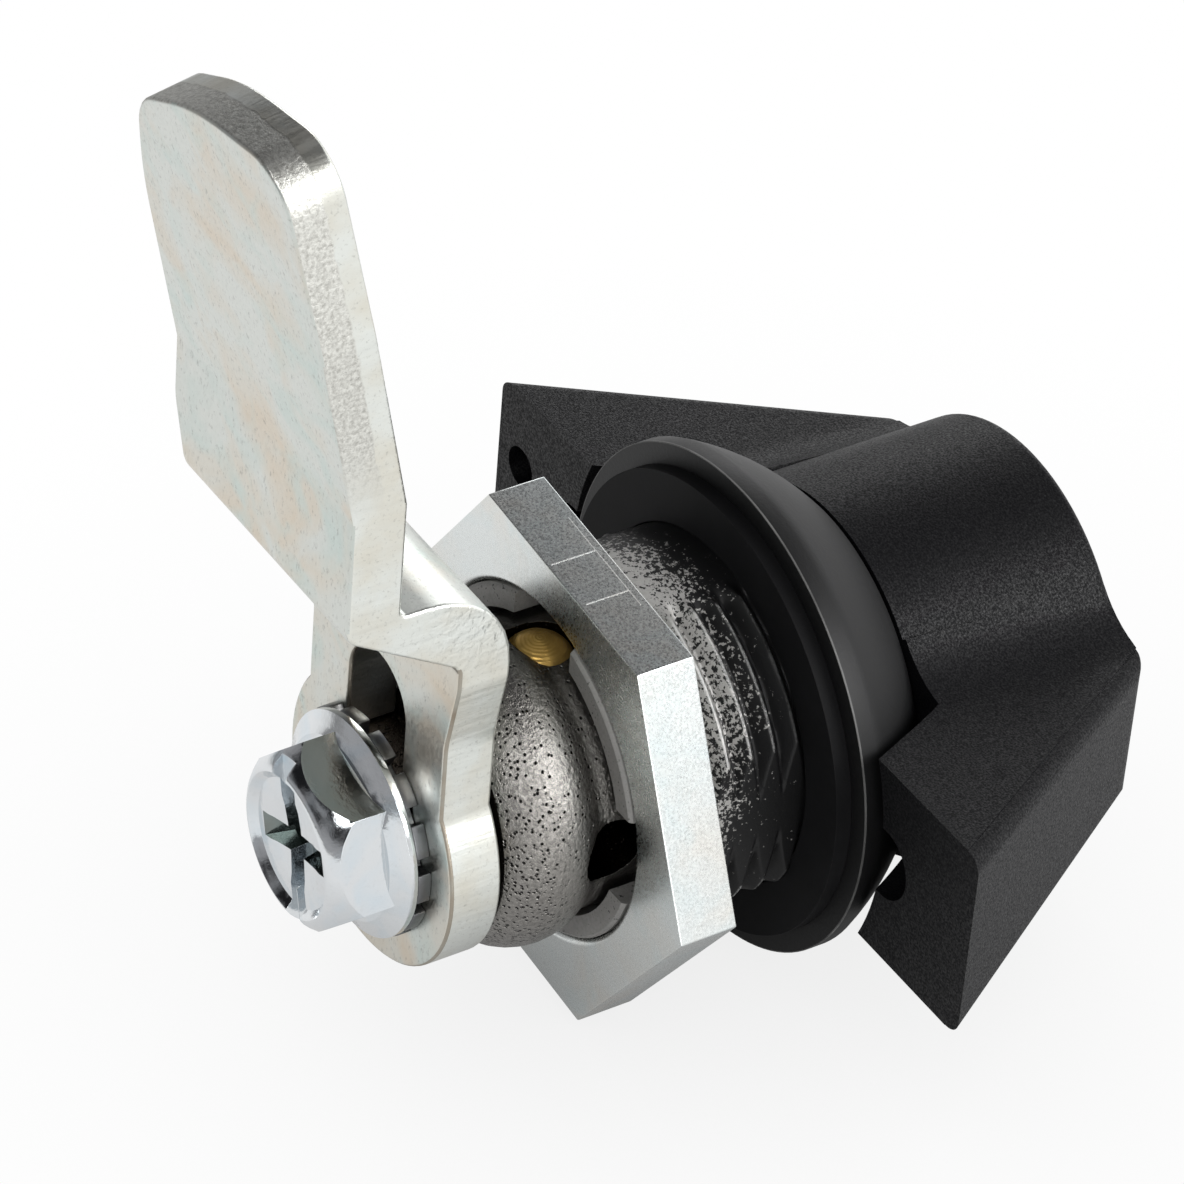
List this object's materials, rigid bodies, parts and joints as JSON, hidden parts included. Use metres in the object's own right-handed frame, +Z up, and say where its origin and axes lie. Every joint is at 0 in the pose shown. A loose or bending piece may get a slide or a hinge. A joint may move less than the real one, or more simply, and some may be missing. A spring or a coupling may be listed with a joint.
{
  "type": "wing knob cam lock",
  "caption": "Quarter-turn panel latch: black two-wing knob on a threaded barrel with a thin hex nut, and a cranked steel cam held by a hex screw at the rear.",
  "frame": {"origin": "on the lock's axis at the panel seat, where the gasket's rear face meets the panel's front face", "axes": "+Y along the barrel from the knob to the cam, +X along a wing, +Z up, the way the cam points when locked"},
  "size_m": [0.049, 0.0542, 0.0656],
  "materials": {
    "knob_nylon": "black glass-filled nylon, fine spark-eroded texture",
    "housing_zinc": "black coated zinc casting, bare with overspray towards the rear of the barrel",
    "gasket_rubber": "black moulded rubber",
    "nut_zinc": "bright zinc-plated steel",
    "cam_zinc": "zinc-plated pressed steel, faintly iridescent",
    "rotor_zinc": "bare pitted zinc casting, weighed as the nearest listed casting metal",
    "screw_zinc": "bright zinc-plated steel",
    "washer_steel": "dark spring steel",
    "pin_brass": "turned brass",
    "spring_steel": "drawn spring wire",
    "seal_rubber": "black rubber"
  },
  "bodies": {
    "housing": {"housing": "housing_zinc", "flange_gasket": "gasket_rubber", "hex_nut": "nut_zinc"},
    "knob": {"wing_knob": "knob_nylon", "knob_cap": "knob_nylon", "knob_screw": "screw_zinc", "rotor": "rotor_zinc", "rotor_seal": "seal_rubber", "cam": "cam_zinc", "lock_washer": "washer_steel", "cam_screw": "screw_zinc", "detent_spring": "spring_steel"},
    "plunger": {"detent_pin": "pin_brass"}
  },
  "joints": [
    {"name": "knob_turn", "type": "hinge", "parent": "housing", "child": "knob", "pos_m": [0, 0, 0], "axis": [0, 1, 0], "range_deg": [0, 90]},
    {"name": "plunger_slide", "type": "slide", "parent": "knob", "child": "plunger", "axis": [0, 0, 1], "range_m": [-0.0007, 0.00045], "stiffness_N_per_m": 500, "deforming": ["detent_spring"]}
  ]
}
